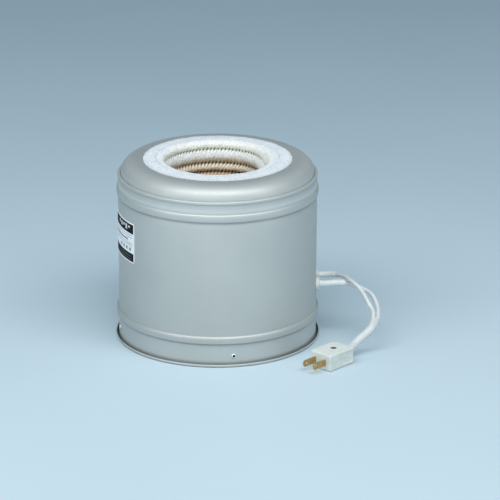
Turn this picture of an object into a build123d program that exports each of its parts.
from build123d import *
import os
from math import asin, cos, degrees, hypot, pi, radians, sin, sqrt, tan

# A laboratory heating mantle for a 500 mL round flask: a beaded metal drum with a domed cover, a soft
# collar round the mouth, a ribbed heater bowl, and two sleeved leads that join into a two-blade plug.
# Millimetres, +Z up. The origin is on the floor under the drum's axis, the drum's front is -Y.

# ---- drum ----
wall_d = 196.0              # outside of the straight wall
sheet = 0.9                 # drum, cover and base sheet
drum_height = 167.8         # floor to the top of the rolled hem
fit = 0.1                   # radial clearance of pieces that seat in each other
hem = 3.4                   # section of the rolled hem, both ways
hem_overhang = 0.4          # hem beyond the wall
hem_corner = 1.25
bead = 8.1                  # height of each bead
upper_bead_drop = 12.9      # hem top down to the upper bead
upper_bead_rise = 1.5
upper_bead_flank = 3.2
groove = 4.0                # inward groove right under the upper bead
groove_depth = 0.9
lower_bead_z = 23.0         # underside of the lower bead
lower_bead_rise = 2.3
lower_bead_under = 1.6
lower_bead_over = 2.8
foot_reach = 3.2            # wall to the outside of the curled foot lip
foot_lip = 2.8              # height of the lip
foot_bend = 0.4             # inside radius of the curl
lip_joint_angle = -97.0     # open joint of the lip, degrees from +X
lip_joint = 0.8

# ---- cover and collar ----
cover_rise = 13.7           # cover's crown above the hem
shoulder_rise = 1.6         # where the rounded shoulder starts above the hem
shoulder_reach = 17.4       # radial width of the shoulder
crown_flat = 4.1            # flat rim between the shoulder and the collar
collar_width = 19.0
collar_top = 1.2            # collar's crown above the cover's crown
collar_edge = 0.2           # collar's outer edge above the cover's crown
collar_recess = 2.2         # depth of the recess that holds the collar and the bowl's flange
collar_round = 0.6
recess_round = 1.0
collar_lap = 3.7            # collar inwards of the cover's turned-down lip
mouth_lip = 7.0
skirt_step = 2.3            # height over which the skirt narrows to pass the hem
skirt_play = 0.5

# ---- heater bowl ----
bowl_play = 0.1             # bowl to the cover's lip
bowl_flange = 8.0           # flange beyond the cover's turned-down lip
bowl_cloth = 1.0            # thickness of the flange
bowl_wall = 3.4             # cloth over the spherical part
ball_drop = 22.2            # flange top down to the centre of the spherical part
rib_crest = 2.4             # rib above its seams
rim_seam_in = 1.4           # first seam in from the bowl's outside, and below the flange's top
rim_seam_drop = 6.9
neck_seam_in = 3.3
neck_seam_drop = 19.8
first_seam_angle = 8.0      # first seam below the bowl's middle, degrees
seam_step_angle = 12.0
seams = 7

# ---- base ----
base_lift = 2.2             # floor to the base plate
base_flange = 13.4          # height of the plate's upturned flange
rivet_z = 10.8
rivet_angle = -80.2         # first rivet, degrees from +X
rivet_count = 4
rivet_head_d = 4.8
rivet_head = 1.1
rivet_shank_d = 3.0
rivet_bore = 2.1
rivet_bulb_d = 4.2
rivet_bulb = 1.8
rivet_play = 0.1
board_edge = 1.6            # base flange's inside to the insulation board
board_top = 14.0
board_play = 1.0            # rivet bulbs to the board

# ---- insulation ----
fill_play = 0.4             # fill to the drum, cover and bowl
pocket_half_height = 13.0   # wiring pocket round the exits
pocket_width = 74.0
pocket_x = 40.0
pocket_y = 4.0              # middle of the pocket

# ---- lead exits ----
exit_z = 53.8
exit_y = {"front": -8.0, "rear": 18.0}
lead_d = 4.4
lead_inside = 6.0           # lead's inner end to the outside of the wall
lead_straight = 6.5         # wall to the lead's first bend
bushing_d = 13.6
bushing_flange = 3.6
bushing_chamfer = 1.1
bushing_body_d = 9.2
bushing_inside = 3.1        # body beyond the wall's inside
bushing_bore_play = 0.25    # lead to the bore, radial
seat_depth = 2.0            # counterbore for the exit sleeve
ring_d = 13.0
ring_thickness = 1.2
sleeve_wall = 0.65          # exit sleeve
sleeve_play = 0.3           # lead to the sleeve, radial
seat_clearance = 0.1        # sleeve to the counterbore, radial
crimp_d = 5.2
crimp_length = 14.0
crimp_waist_d = 4.0
tail_d = 2.4
tail_inset = 7.9            # bowl's outside to where the heater tails turn up
tail_bend = 7.0
tail_play = 0.25
tail_entry = 1.2            # tail's end inside the bowl's cloth

# ---- leads and joint sleeve, chosen points of their centrelines ----
# X is measured from the wall's +X side. Each lead's first two points lie on its bushing's axis.
joint_d = 8.2
lead_bends = {
    "front": [(20.1, -5.7, 55.5), (33.0, 0.5, 50.4), (45.4, 0.1, 46.1), (55.3, -7.9, 43.4),
              (60.3, -20.6, 36.1), (61.06, -34.84, 31.11), (59.67, -42.0, 27.82)],
    "rear": [(16.1, 17.8, 54.7), (26.5, 9.2, 56.4), (33.8, -5.3, 56.7), (44.4, -16.8, 50.9),
             (51.8, -23.3, 37.9), (56.92, -34.84, 32.87), (55.53, -42.0, 29.58)],
}
sleeve_end_x = {"front": 27.5, "rear": 21.0}
exit_bend = 20.5            # radius of each lead's first bend, close to its bushing
joint_bends = [(25.94, -78.06, 8.4), (29.65, -74.08, 8.4), (34.2, -68.2, 10.2), (40.1, -61.5, 15.4),
               (50.3, -56.8, 21.4), (56.47, -47.82, 26.03), (57.58, -42.1, 28.65)]

# ---- plug ----
plug_x = 25.9               # middle of the rear face, from the wall's +X side
plug_y = -78.1
plug_lift = 0.15
plug_turn = -133.0          # direction the blades point in, degrees from +X
plug_length = 34.5
plug_width = 26.0
plug_height = 16.5
plug_nose_radius = 7.0      # rounded rear corner
plug_corner = 1.6
plug_edge = 1.0
grip_depth = 0.8
grip_length = 15.0
grip_height = 9.5
grip_back = 4.0             # rear face to the grip recess
blade_spacing = 12.7
blade_width = 6.35
blade_thickness = 1.5
blade_reach = 17.0
blade_buried = 15.0
blade_hole_d = 3.2
blade_hole_back = 4.2
blade_tip = 1.4
blade_play = 0.1
screw_back = 19.2           # front face to the screw
screw_head_d = 5.2
screw_head = 2.2
screw_d = 2.9
screw_sink = 1.2            # top of the head below the plug's top
screw_slot = 0.8
screw_play = 0.15
screw_well_d = 6.0          # well over the screw's head
nut_size = 5.4
nut_height = 2.2
nut_sink = 1.0
terminal_d = 4.0
terminal_height = 1.6
terminal_back = 11.0        # blade's buried stretch to its terminal screw
terminal_shank_d = 2.2
terminal_end = 1.2          # shank beyond the blade
well_size = 5.4             # well round each terminal screw

# ---- nameplate ----
plate_from_angle = -191.6   # degrees from +X
plate_to_angle = -145.0
plate_bottom = 90.6
plate_height = 40.6
plate_thickness = 0.5
plate_corner = 1.5

# ---- worked-out values ----
wall_r = wall_d / 2
wall_in = wall_r - sheet
foot_r = wall_r + foot_reach
hem_outer = wall_r + hem_overhang
hem_bottom = drum_height - hem
upper_bead_z = drum_height - upper_bead_drop - bead
groove_z = upper_bead_z - groove
neck_r = hem_outer - hem - fit
crown_r = neck_r - shoulder_reach
shoulder_z = drum_height + shoulder_rise
cover_top = drum_height + cover_rise
recess_r = crown_r - crown_flat
collar_outer = recess_r - fit
collar_inner = collar_outer - collar_width
recess_z = cover_top - collar_recess
mouth_r = collar_inner + collar_lap
skirt_r = wall_in - fit
skirt_bottom = upper_bead_z + fit
bowl_r = mouth_r - bowl_play
flange_top = recess_z + bowl_cloth
ball_z = flange_top - ball_drop
seam_r = bowl_r - bowl_wall
flange_r = mouth_r + bowl_flange
base_r = wall_in - fit
plate_top = base_lift + sheet
board_r = base_r - sheet - board_edge - board_play
rivet_angles = [rivet_angle + 360 / rivet_count * i for i in range(rivet_count)]
exit_angles = {side: degrees(asin(y / wall_r)) for side, y in exit_y.items()}
lead_start = wall_r - lead_inside
bushing_outer = wall_r + bushing_flange
seat_r = bushing_outer - seat_depth
ring_r = sqrt(wall_in ** 2 - (ring_d / 2) ** 2) - fit
sleeve_bore_d = lead_d + 2 * sleeve_play
sleeve_d = sleeve_bore_d + 2 * sleeve_wall
tail_r = bowl_r - tail_inset
tail_top = ball_z - sqrt(bowl_r ** 2 - tail_r ** 2) + tail_entry
plug_middle = plug_height / 2
half = cos(radians(45))

os.makedirs("parts", exist_ok=True)


def radial_plane(angle, r, z):
    """A plane at r from the drum's axis that faces outwards."""
    out = (cos(radians(angle)), sin(radians(angle)), 0)
    return Plane(origin=(r * out[0], r * out[1], z), x_dir=(-out[1], out[0], 0), z_dir=out)


def axis_plane(angle, z):
    """A plane through the drum's axis: X is the distance from the axis, Y the height above z."""
    out = (cos(radians(angle)), sin(radians(angle)), 0)
    return Plane(origin=(0, 0, z), x_dir=out, z_dir=(out[1], -out[0], 0))


def radial_axis(angle, z):
    """The line from the drum's axis outwards at height z."""
    return Axis((0, 0, z), (cos(radians(angle)), sin(radians(angle)), 0))


def on_ray(angle, r, z):
    """A point at r from the drum's axis."""
    return (r * cos(radians(angle)), r * sin(radians(angle)), z)


def bead_outline(r, z, rise, under, over):
    """One outward bead, drawn upwards at radius r from height z."""
    top = z + bead
    ThreePointArc((r, z), (r + rise * half, z + under * (1 - half)), (r + rise, z + under))
    Line((r + rise, z + under), (r + rise, top - over))
    ThreePointArc((r + rise, top - over), (r + rise * half, top - over * (1 - half)), (r, top))


def wall_outline(r, bottom):
    """The wall from bottom to the hem, with both beads and the groove, at radius r."""
    Line((r, bottom), (r, lower_bead_z))
    bead_outline(r, lower_bead_z, lower_bead_rise, lower_bead_under, lower_bead_over)
    Line((r, lower_bead_z + bead), (r, groove_z))
    ThreePointArc((r, groove_z), (r - groove_depth, groove_z + groove / 2), (r, upper_bead_z))
    bead_outline(r, upper_bead_z, upper_bead_rise, upper_bead_flank, upper_bead_flank)
    Line((r, upper_bead_z + bead), (r, drum_height - hem / 2))


def turns(points):
    """The turn at each inner point of a route, in radians, and the run lengths."""
    runs = [Vector(*b) - Vector(*a) for a, b in zip(points, points[1:])]
    angles = [radians(a.get_angle(b)) for a, b in zip(runs, runs[1:])]
    return angles, [run.length for run in runs]


def bend_radii(name, points, first=None):
    """Arcs as large as the two runs beside each point allow. The first one may be set."""
    angles, runs = turns(points)
    radii = [0.45 * min(a, b) / tan(turn / 2) for turn, a, b in zip(angles, runs, runs[1:])]
    if first:
        radii[0] = min(first, radii[0])
    print(name, "arc radii", [round(r, 1) for r in radii])
    return radii


def beside_wall(points):
    """Points whose X is measured from the wall's +X side, moved into the drum's frame."""
    return [(wall_r + x, y, z) for x, y, z in points]


def start_plane(points):
    """The plane across a route at its first point."""
    return Plane(origin=points[0], z_dir=Vector(*points[1]) - Vector(*points[0]))


# ---- drum shell: one sheet with a rolled hem, two beads, a groove and a curled foot ----
with BuildPart() as drum_shell:
    bend_out = foot_bend + sheet
    lip_in = foot_r - sheet
    with BuildSketch(Plane.XZ):
        with BuildLine():
            wall_outline(wall_r, bend_out)
            Line((wall_r, drum_height - hem / 2), (wall_in, drum_height - hem / 2))
            wall_outline(wall_in, bend_out)
            ThreePointArc((wall_in, bend_out),
                          (wall_in + bend_out * (1 - half), bend_out * (1 - half)),
                          (wall_in + bend_out, 0))
            Line((wall_in + bend_out, 0), (foot_r - bend_out, 0))
            ThreePointArc((foot_r - bend_out, 0),
                          (foot_r - bend_out * (1 - half), bend_out * (1 - half)),
                          (foot_r, bend_out))
            Line((foot_r, bend_out), (foot_r, foot_lip - sheet / 2))
            ThreePointArc((foot_r, foot_lip - sheet / 2), (foot_r - sheet / 2, foot_lip),
                          (lip_in, foot_lip - sheet / 2))
            Line((lip_in, foot_lip - sheet / 2), (lip_in, bend_out))
            ThreePointArc((lip_in, bend_out),
                          (lip_in - foot_bend * (1 - half), sheet + foot_bend * (1 - half)),
                          (lip_in - foot_bend, sheet))
            Line((lip_in - foot_bend, sheet), (wall_r + foot_bend, sheet))
            ThreePointArc((wall_r + foot_bend, sheet),
                          (wall_r + foot_bend * (1 - half), sheet + foot_bend * (1 - half)),
                          (wall_r, bend_out))
        make_face()
        with Locations((hem_outer - hem / 2, drum_height - hem / 2)):
            RectangleRounded(hem, hem, hem_corner)
    revolve(axis=Axis.Z)
    with BuildSketch(*[radial_plane(a, wall_in - sheet, rivet_z) for a in rivet_angles]):
        Circle(rivet_shank_d / 2 + rivet_play)
    extrude(amount=3 * sheet, mode=Mode.SUBTRACT)
    with BuildSketch(*[radial_plane(a, wall_in - sheet, exit_z) for a in exit_angles.values()]):
        Circle(bushing_body_d / 2 + fit)
    extrude(amount=3 * sheet, mode=Mode.SUBTRACT)
    with BuildSketch(radial_plane(lip_joint_angle, lip_in - foot_bend, foot_lip)):
        Rectangle(lip_joint, 2 * (foot_lip - sheet - foot_bend / 2))
    extrude(amount=bend_out + sheet, mode=Mode.SUBTRACT)
drum_shell.part.label = "drum_shell"
export_step(drum_shell.part, "parts/drum_shell.step")

# ---- top cover: its skirt stands on the groove inside the drum and is held down by the hem ----
with BuildPart() as top_cover:
    step_top = hem_bottom - skirt_play
    step_bottom = step_top - skirt_step
    with BuildSketch(Plane.XZ):
        with BuildLine():
            Polyline((skirt_r, skirt_bottom), (skirt_r, step_bottom), (neck_r, step_top),
                     (neck_r, shoulder_z))
            EllipticalCenterArc((crown_r, shoulder_z), neck_r - crown_r, cover_top - shoulder_z, 0,
                                arc_size=90)
            Line((crown_r, cover_top), (recess_r + recess_round, cover_top))
            ThreePointArc((recess_r + recess_round, cover_top),
                          (recess_r + recess_round * (1 - half), cover_top - recess_round * (1 - half)),
                          (recess_r, cover_top - recess_round))
            Polyline((recess_r, cover_top - recess_round), (recess_r, recess_z),
                     (mouth_r + recess_round, recess_z))
            ThreePointArc((mouth_r + recess_round, recess_z),
                          (mouth_r + recess_round * (1 - half), recess_z - recess_round * (1 - half)),
                          (mouth_r, recess_z - recess_round))
            Polyline((mouth_r, recess_z - recess_round), (mouth_r, recess_z - mouth_lip),
                     (mouth_r + sheet, recess_z - mouth_lip), (mouth_r + sheet, recess_z - sheet),
                     (recess_r + sheet, recess_z - sheet), (recess_r + sheet, cover_top - sheet),
                     (crown_r, cover_top - sheet))
            EllipticalCenterArc((crown_r, shoulder_z), neck_r - sheet - crown_r,
                                cover_top - sheet - shoulder_z, 0, arc_size=90)
            Polyline((neck_r - sheet, shoulder_z), (neck_r - sheet, step_top),
                     (skirt_r - sheet, step_bottom), (skirt_r - sheet, skirt_bottom),
                     (skirt_r, skirt_bottom))
        make_face()
    revolve(axis=Axis.Z)
top_cover.part.label = "top_cover"
export_step(top_cover.part, "parts/top_cover.step")

# ---- base plate: a shallow pan with an upturned flange, riveted to the wall ----
with BuildPart() as base_plate:
    with BuildSketch(Plane.XY.offset(base_lift)):
        Circle(base_r)
    extrude(amount=sheet + base_flange)
    with BuildSketch(Plane.XY.offset(plate_top)):
        Circle(base_r - sheet)
    extrude(amount=base_flange, mode=Mode.SUBTRACT)
    fillet(base_plate.edges().filter_by(GeomType.CIRCLE).group_by(Axis.Z)[0], sheet)
    with BuildSketch(*[radial_plane(a, base_r - 2 * sheet, rivet_z) for a in rivet_angles]):
        Circle(rivet_shank_d / 2 + rivet_play)
    extrude(amount=3 * sheet, mode=Mode.SUBTRACT)
base_plate.part.label = "base_plate"
export_step(base_plate.part, "parts/base_plate.step")

# ---- blind rivets ----
bulb_r = sqrt((base_r - sheet) ** 2 - (rivet_bulb_d / 2) ** 2)
with BuildPart() as base_rivets:
    with BuildSketch(*[radial_plane(a, wall_r, rivet_z) for a in rivet_angles]):
        Circle(rivet_head_d / 2)
    extrude(amount=rivet_head)
    rims = base_rivets.edges().filter_by(GeomType.CIRCLE)
    fillet(rims.filter_by(lambda e: hypot(e.arc_center.X, e.arc_center.Y) > wall_r + rivet_head / 2),
           rivet_head * 0.7)
    with BuildSketch(*[radial_plane(a, bulb_r - rivet_bulb, rivet_z) for a in rivet_angles]):
        Circle(rivet_shank_d / 2)
    extrude(amount=wall_r - bulb_r + rivet_bulb + rivet_head / 2)
    with BuildSketch(*[radial_plane(a, bulb_r - rivet_bulb, rivet_z) for a in rivet_angles]):
        Circle(rivet_bulb_d / 2)
    extrude(amount=rivet_bulb)
    with BuildSketch(*[radial_plane(a, wall_in, rivet_z) for a in rivet_angles]):
        Circle(rivet_bore / 2)
    extrude(amount=sheet + 2 * rivet_head, mode=Mode.SUBTRACT)
base_rivets.part.label = "base_rivets"
export_step(base_rivets.part, "parts/base_rivets.step")

# ---- insulation board on the base plate ----
with BuildPart() as insulation_board:
    with BuildSketch(Plane.XY.offset(plate_top)):
        Circle(board_r)
    extrude(amount=board_top - plate_top)
insulation_board.part.label = "insulation_board"
export_step(insulation_board.part, "parts/insulation_board.step")

# ---- heater bowl: sewn cloth in ribs, hung by its flange in the cover's recess ----
with BuildPart() as heater_bowl:
    def on_ball(r, down):
        """A point of the bowl's section, down degrees below its middle."""
        return (r * cos(radians(down)), ball_z - r * sin(radians(down)))

    seam_angles = [first_seam_angle + seam_step_angle * i for i in range(seams)]
    seam_points = [(bowl_r - bowl_cloth, flange_top), (bowl_r - rim_seam_in, flange_top - rim_seam_drop),
                   (bowl_r - neck_seam_in, flange_top - neck_seam_drop)]
    crests = [((a[0] + b[0]) / 2 - rib_crest, (a[1] + b[1]) / 2)
              for a, b in zip(seam_points, seam_points[1:])]
    seam_points.append(on_ball(seam_r, seam_angles[0]))
    crests.append(((seam_points[2][0] + seam_points[3][0]) / 2 - rib_crest,
                   (seam_points[2][1] + seam_points[3][1]) / 2))
    for upper, lower in zip(seam_angles, seam_angles[1:]):
        seam_points.append(on_ball(seam_r, lower))
        crests.append(on_ball(seam_r - rib_crest, (upper + lower) / 2))
    with BuildSketch(Plane.XZ):
        with BuildLine():
            for upper, crest, lower in zip(seam_points, crests, seam_points[1:]):
                ThreePointArc(upper, crest, lower)
            bottom = (0, ball_z - seam_r + rib_crest)
            Line(seam_points[-1], bottom)
            Line(bottom, (0, ball_z - bowl_r))
            ThreePointArc((0, ball_z - bowl_r), on_ball(bowl_r, 45), (bowl_r, ball_z))
            Polyline((bowl_r, ball_z), (bowl_r, recess_z), (flange_r, recess_z), (flange_r, flange_top),
                     seam_points[0])
        make_face()
    revolve(axis=Axis.Z)
    tail_places = [on_ray(a, tail_r, 0)[:2] for a in exit_angles.values()]
    with BuildSketch(Plane.XY.offset(exit_z)):
        with Locations(*tail_places):
            Circle(tail_d / 2 + tail_play)
    extrude(amount=tail_top - exit_z, mode=Mode.SUBTRACT)
heater_bowl.part.label = "heater_bowl"
export_step(heater_bowl.part, "parts/heater_bowl.step")

# ---- collar: a flat ring wound with glass tape, in the cover's recess over the bowl's flange ----
with BuildPart() as collar:
    outer_top = cover_top + collar_edge
    crown_z = cover_top + collar_top
    inner_round = (crown_z - flange_top) / 2
    with BuildSketch(Plane.XZ):
        with BuildLine():
            Line((collar_outer, recess_z), (collar_outer, outer_top - collar_round))
            ThreePointArc((collar_outer, outer_top - collar_round),
                          (collar_outer - collar_round * (1 - half), outer_top - collar_round * (1 - half)),
                          (collar_outer - collar_round, outer_top))
            Line((collar_outer - collar_round, outer_top), (collar_inner + inner_round, crown_z))
            ThreePointArc((collar_inner + inner_round, crown_z), (collar_inner, crown_z - inner_round),
                          (collar_inner + inner_round, flange_top))
            Polyline((collar_inner + inner_round, flange_top), (flange_r + fit, flange_top),
                     (flange_r + fit, recess_z), (collar_outer, recess_z))
        make_face()
    revolve(axis=Axis.Z)
collar.part.label = "collar"
export_step(collar.part, "parts/collar.step")

# ---- insulation fill round the bowl, with a wiring pocket and two channels for the heater tails ----
with BuildPart() as insulation_fill:
    bed_r = bowl_r + fill_play
    outer_r = wall_in - groove_depth - fill_play
    under_lip = recess_z - mouth_lip - fill_play
    under_recess = recess_z - sheet - fill_play
    lip_r = mouth_r + sheet + fill_play
    shoulder_in = neck_r - sheet - fill_play
    step_z = hem_bottom - skirt_play - skirt_step - fill_play
    with BuildSketch(Plane.XZ):
        with BuildLine():
            ThreePointArc((0, ball_z - bed_r), (bed_r * half, ball_z - bed_r * half), (bed_r, ball_z))
            Polyline((bed_r, ball_z), (bed_r, under_lip), (lip_r, under_lip), (lip_r, under_recess),
                     (crown_r, under_recess))
            Line((crown_r, under_recess), (shoulder_in, shoulder_z))
            Polyline((shoulder_in, shoulder_z), (shoulder_in, step_z), (outer_r, step_z - skirt_step),
                     (outer_r, board_top), (0, board_top), (0, ball_z - bed_r))
        make_face()
    revolve(axis=Axis.Z)
    with BuildSketch(Plane.XY.offset(exit_z - pocket_half_height)):
        with Locations((pocket_x, pocket_y)):
            Rectangle(wall_d, pocket_width, align=(Align.MIN, Align.CENTER))
    extrude(amount=2 * pocket_half_height, mode=Mode.SUBTRACT)
    with BuildSketch(Plane.XY.offset(exit_z)):
        with Locations(*tail_places):
            Circle(tail_d / 2 + fill_play)
    extrude(amount=ball_z - exit_z, mode=Mode.SUBTRACT)
insulation_fill.part.label = "insulation_fill"
export_step(insulation_fill.part, "parts/insulation_fill.step")

# ---- lead exits ----
for side, angle in exit_angles.items():
    exit_axis = radial_axis(angle, exit_z)

    # bushing: flange outside, body through the wall, a seat for the exit sleeve
    with BuildPart() as bushing:
        inner_end = wall_in - bushing_inside
        bore_r = lead_d / 2 + bushing_bore_play
        seat_bore_r = sleeve_d / 2 + seat_clearance
        with BuildSketch(axis_plane(angle, exit_z)):
            with BuildLine():
                Polyline((inner_end, bore_r), (seat_r, bore_r), (seat_r, seat_bore_r),
                         (bushing_outer, seat_bore_r), (bushing_outer, bushing_d / 2 - bushing_chamfer),
                         (bushing_outer - bushing_chamfer, bushing_d / 2), (wall_r, bushing_d / 2),
                         (wall_r, bushing_body_d / 2), (inner_end, bushing_body_d / 2), close=True)
            make_face()
        revolve(axis=exit_axis)
    bushing.part.label = f"bushing_{side}"
    export_step(bushing.part, f"parts/bushing_{side}.step")

    # push ring that holds the bushing from inside
    with BuildPart() as push_ring:
        with BuildSketch(radial_plane(angle, ring_r - ring_thickness, exit_z)):
            Circle(ring_d / 2)
            Circle(bushing_body_d / 2 + fit / 2, mode=Mode.SUBTRACT)
        extrude(amount=ring_thickness)
    push_ring.part.label = f"push_ring_{side}"
    export_step(push_ring.part, f"parts/push_ring_{side}.step")

    # lead
    points = [on_ray(angle, lead_start, exit_z), on_ray(angle, wall_r + lead_straight, exit_z),
              *beside_wall(lead_bends[side])]
    radii = bend_radii(f"lead_{side}", points, exit_bend)
    with BuildPart() as lead:
        with BuildLine() as centreline:
            FilletPolyline(*points, radius=radii)
        with BuildSketch(start_plane(points)):
            Circle(lead_d / 2)
        sweep()
    length = centreline.wires()[0].length
    print(f"lead_{side} length", round(length, 2), "volume share",
          round(lead.part.volume / (length * pi * lead_d ** 2 / 4), 4))
    lead.part.label = f"lead_{side}"
    export_step(lead.part, f"parts/lead_{side}.step")

    # exit sleeve: a stiff tube over the lead, from its seat in the bushing
    before = Vector(*points[2])
    after = Vector(*points[3])
    share = (wall_r + sleeve_end_x[side] - before.X) / (after.X - before.X)
    sleeve_points = [on_ray(angle, seat_r + fit, exit_z), points[1], points[2],
                     tuple(before + (after - before) * share)]
    with BuildPart() as exit_sleeve:
        with BuildLine():
            FilletPolyline(*sleeve_points, radius=radii[:2])
        with BuildSketch(start_plane(sleeve_points)):
            Circle(sleeve_d / 2)
            Circle(sleeve_bore_d / 2, mode=Mode.SUBTRACT)
        sweep()
    exit_sleeve.part.label = f"exit_sleeve_{side}"
    export_step(exit_sleeve.part, f"parts/exit_sleeve_{side}.step")

    # crimp between the lead and the heater tail
    with BuildPart() as crimp:
        crimp_start = lead_start - fit
        crimp_end = crimp_start - crimp_length
        waist = crimp_length / 4
        with BuildSketch(axis_plane(angle, exit_z)):
            with BuildLine():
                Polyline((crimp_start, 0), (crimp_start, crimp_d / 2),
                         (crimp_start - waist, crimp_d / 2),
                         (crimp_start - 1.5 * waist, crimp_waist_d / 2),
                         (crimp_end + 1.5 * waist, crimp_waist_d / 2), (crimp_end + waist, crimp_d / 2),
                         (crimp_end, crimp_d / 2), (crimp_end, 0), close=True)
            make_face()
        revolve(axis=exit_axis)
    crimp.part.label = f"crimp_{side}"
    export_step(crimp.part, f"parts/crimp_{side}.step")

    # heater tail: from the crimp inwards and up into the bowl's cloth
    tail_points = [on_ray(angle, crimp_end, exit_z), on_ray(angle, tail_r, exit_z),
                   on_ray(angle, tail_r, tail_top)]
    with BuildPart() as heater_tail:
        with BuildLine():
            FilletPolyline(*tail_points, radius=tail_bend)
        with BuildSketch(start_plane(tail_points)):
            Circle(tail_d / 2)
        sweep()
    heater_tail.part.label = f"heater_tail_{side}"
    export_step(heater_tail.part, f"parts/heater_tail_{side}.step")

# ---- joint sleeve from the plug to the two leads ----
joint_route = beside_wall(joint_bends)
joint_radii = bend_radii("joint_sleeve", joint_route)
with BuildPart() as joint_sleeve:
    with BuildLine() as joint_line:
        FilletPolyline(*joint_route, radius=joint_radii)
    with BuildSketch(start_plane(joint_route)):
        Circle(joint_d / 2)
    sweep()
joint_length = joint_line.wires()[0].length
print("joint_sleeve length", round(joint_length, 2), "volume share",
      round(joint_sleeve.part.volume / (joint_length * pi * joint_d ** 2 / 4), 4))
joint_sleeve.part.label = "joint_sleeve"
export_step(joint_sleeve.part, "parts/joint_sleeve.step")

# ---- plug: X forward from the rear face, Z up from its underside ----
forward = (cos(radians(plug_turn)), sin(radians(plug_turn)), 0)
plug_plane = Plane(origin=(wall_r + plug_x, plug_y, plug_lift), x_dir=forward, z_dir=(0, 0, 1))
screw_x = plug_length - screw_back
blade_start = plug_length - blade_buried
terminal_x = plug_length - terminal_back
blade_sides = {"left": -1, "right": 1}


def plug_plan(height):
    """The plug's outline at a height, with one generously rounded rear corner."""
    with BuildSketch(plug_plane.offset(height)) as plan:
        Rectangle(plug_length, plug_width, align=(Align.MIN, Align.CENTER))
        rear = plan.vertices().sort_by(Axis.X)[:2]
        fillet(rear.sort_by(Axis.Y)[:1], plug_nose_radius)
        square = plan.vertices().sort_by(Axis.X)[-2:] + plan.vertices().sort_by(Axis.Y)[-2:]
        fillet(list(dict.fromkeys(square)), plug_corner)
    return plan.sketch


def side_plane(y):
    """An upright plane along the plug: X forward from the rear face, Y up from the parting line."""
    return Plane(origin=plug_plane.from_local_coords((0, y, plug_middle)), x_dir=forward,
                 z_dir=(forward[1], -forward[0], 0))


def blade_slots():
    """The section of both blade slots, seen from the front of the plug."""
    across = Plane(origin=plug_plane.from_local_coords((blade_start - blade_play, 0, plug_middle)),
                   x_dir=plug_plane.y_dir, z_dir=forward)
    with BuildSketch(across) as slots:
        with GridLocations(blade_spacing, 1, 2, 1):
            Rectangle(blade_thickness + 2 * blade_play, blade_width + 2 * blade_play)
    return slots.sketch


def terminal_wells():
    """The section of the wells round both terminal screws, at the parting line."""
    with BuildSketch(plug_plane.offset(plug_middle)) as wells:
        with Locations((terminal_x, -blade_spacing / 2), (terminal_x, blade_spacing / 2)):
            Rectangle(well_size, well_size + blade_thickness)
    return wells.sketch


def plug_shell(height, wall_height):
    """Half of the plug's body with its slots, wells and grips cut, for the part being built."""
    extrude(plug_plan(height), amount=wall_height)
    extrude(blade_slots(), amount=blade_buried + 2 * blade_play, mode=Mode.SUBTRACT)
    extrude(terminal_wells(), amount=well_size / 2, both=True, mode=Mode.SUBTRACT)
    for y in (-plug_width / 2, plug_width / 2):
        with BuildSketch(side_plane(y)) as grip:
            with Locations((grip_back + grip_length / 2, 0)):
                RectangleRounded(grip_length, grip_height, grip_height / 4)
        extrude(grip.sketch, amount=grip_depth, both=True, mode=Mode.SUBTRACT)


with BuildPart() as plug_base:
    plug_shell(0, plug_middle)
    fillet(plug_base.edges().group_by(Axis.Z)[0], plug_edge)
    with BuildSketch(plug_plane):
        with Locations((screw_x, 0)):
            Circle(screw_d / 2 + screw_play)
    extrude(amount=plug_middle, mode=Mode.SUBTRACT)
    with BuildSketch(plug_plane):
        with Locations((screw_x, 0)):
            RegularPolygon(nut_size / 2 + screw_play, 6, major_radius=False)
    extrude(amount=nut_sink + nut_height, mode=Mode.SUBTRACT)
plug_base.part.label = "plug_base"
export_step(plug_base.part, "parts/plug_base.step")

with BuildPart() as plug_cover:
    plug_shell(plug_middle, plug_height - plug_middle)
    fillet(plug_cover.edges().group_by(Axis.Z)[-1], plug_edge)
    with BuildSketch(plug_plane.offset(plug_middle)):
        with Locations((screw_x, 0)):
            Circle(screw_d / 2 + screw_play)
    extrude(amount=plug_height - plug_middle, mode=Mode.SUBTRACT)
    with BuildSketch(plug_plane.offset(plug_height - screw_sink - screw_head)):
        with Locations((screw_x, 0)):
            Circle(screw_well_d / 2)
    extrude(amount=screw_sink + screw_head, mode=Mode.SUBTRACT)
plug_cover.part.label = "plug_cover"
export_step(plug_cover.part, "parts/plug_cover.step")

for name, sign in blade_sides.items():
    with BuildPart() as blade:
        with BuildSketch(side_plane(sign * blade_spacing / 2)) as outline:
            with Locations((blade_start, 0)):
                Rectangle(blade_buried + blade_reach, blade_width, align=(Align.MIN, Align.CENTER))
            chamfer(outline.vertices().sort_by(Axis.X)[-2:], blade_tip)
            with Locations((plug_length + blade_reach - blade_hole_back, 0)):
                Circle(blade_hole_d / 2, mode=Mode.SUBTRACT)
            with Locations((terminal_x, 0)):
                Circle(terminal_shank_d / 2 + blade_play, mode=Mode.SUBTRACT)
        extrude(amount=blade_thickness / 2, both=True)
    blade.part.label = f"blade_{name}"
    export_step(blade.part, f"parts/blade_{name}.step")

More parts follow.
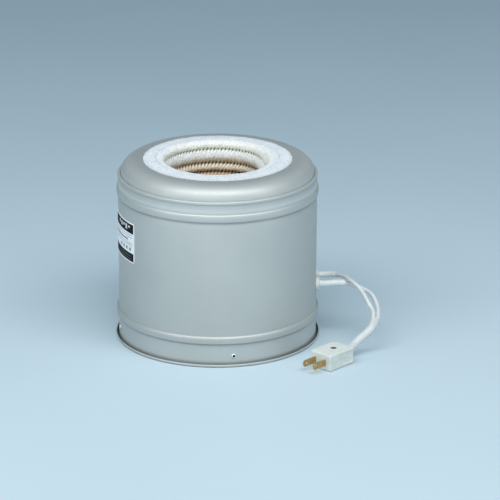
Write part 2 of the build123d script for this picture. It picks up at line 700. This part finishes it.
# ---- terminal screws: one through each blade, its head outwards ----
with BuildPart() as terminal_screws:
    for sign in (-1, 1):
        face = sign * (blade_spacing / 2 + blade_thickness / 2)
        with BuildSketch(side_plane(face)) as head:
            with Locations((terminal_x, 0)):
                Circle(terminal_d / 2)
        extrude(head.sketch, amount=-sign * terminal_height)
        with BuildSketch(side_plane(face)) as shank:
            with Locations((terminal_x, 0)):
                Circle(terminal_shank_d / 2)
        extrude(shank.sketch, amount=sign * (blade_thickness + terminal_end))
terminal_screws.part.label = "terminal_screws"
export_step(terminal_screws.part, "parts/terminal_screws.step")

# ---- screw and nut that hold the plug's halves ----
with BuildPart() as plug_screw:
    head_bottom = plug_height - screw_sink - screw_head
    with BuildSketch(plug_plane.offset(head_bottom)):
        with Locations((screw_x, 0)):
            Circle(screw_head_d / 2)
    extrude(amount=screw_head)
    fillet(plug_screw.edges().group_by(Axis.Z)[-1], screw_head / 3)
    with BuildSketch(plug_plane.offset(nut_sink)):
        with Locations((screw_x, 0)):
            Circle(screw_d / 2)
    extrude(amount=head_bottom - nut_sink)
    with BuildSketch(plug_plane.offset(head_bottom + screw_head / 2)):
        with Locations((screw_x, 0)):
            Rectangle(screw_head_d + 1, screw_slot)
    extrude(amount=screw_head, mode=Mode.SUBTRACT)
plug_screw.part.label = "plug_screw"
export_step(plug_screw.part, "parts/plug_screw.step")

with BuildPart() as plug_nut:
    with BuildSketch(plug_plane.offset(nut_sink)):
        with Locations((screw_x, 0)):
            RegularPolygon(nut_size / 2, 6, major_radius=False)
            Circle(screw_d / 2 + screw_play / 2, mode=Mode.SUBTRACT)
    extrude(amount=nut_height)
plug_nut.part.label = "plug_nut"
export_step(plug_nut.part, "parts/plug_nut.step")

# ---- nameplate: a thin curved plate on the wall ----
with BuildPart() as nameplate:
    plate_r = wall_r + plate_thickness
    with BuildSketch(Plane.XY.offset(plate_bottom)):
        with BuildLine():
            CenterArc((0, 0), wall_r, plate_from_angle, plate_to_angle - plate_from_angle)
            CenterArc((0, 0), plate_r, plate_from_angle, plate_to_angle - plate_from_angle)
            Line(on_ray(plate_from_angle, wall_r, 0), on_ray(plate_from_angle, plate_r, 0))
            Line(on_ray(plate_to_angle, wall_r, 0), on_ray(plate_to_angle, plate_r, 0))
        make_face()
    extrude(amount=plate_height)
    fillet(nameplate.edges().filter_by(lambda e: e.length < 1.1 * plate_thickness), plate_corner)
nameplate.part.label = "nameplate"
export_step(nameplate.part, "parts/nameplate.step")
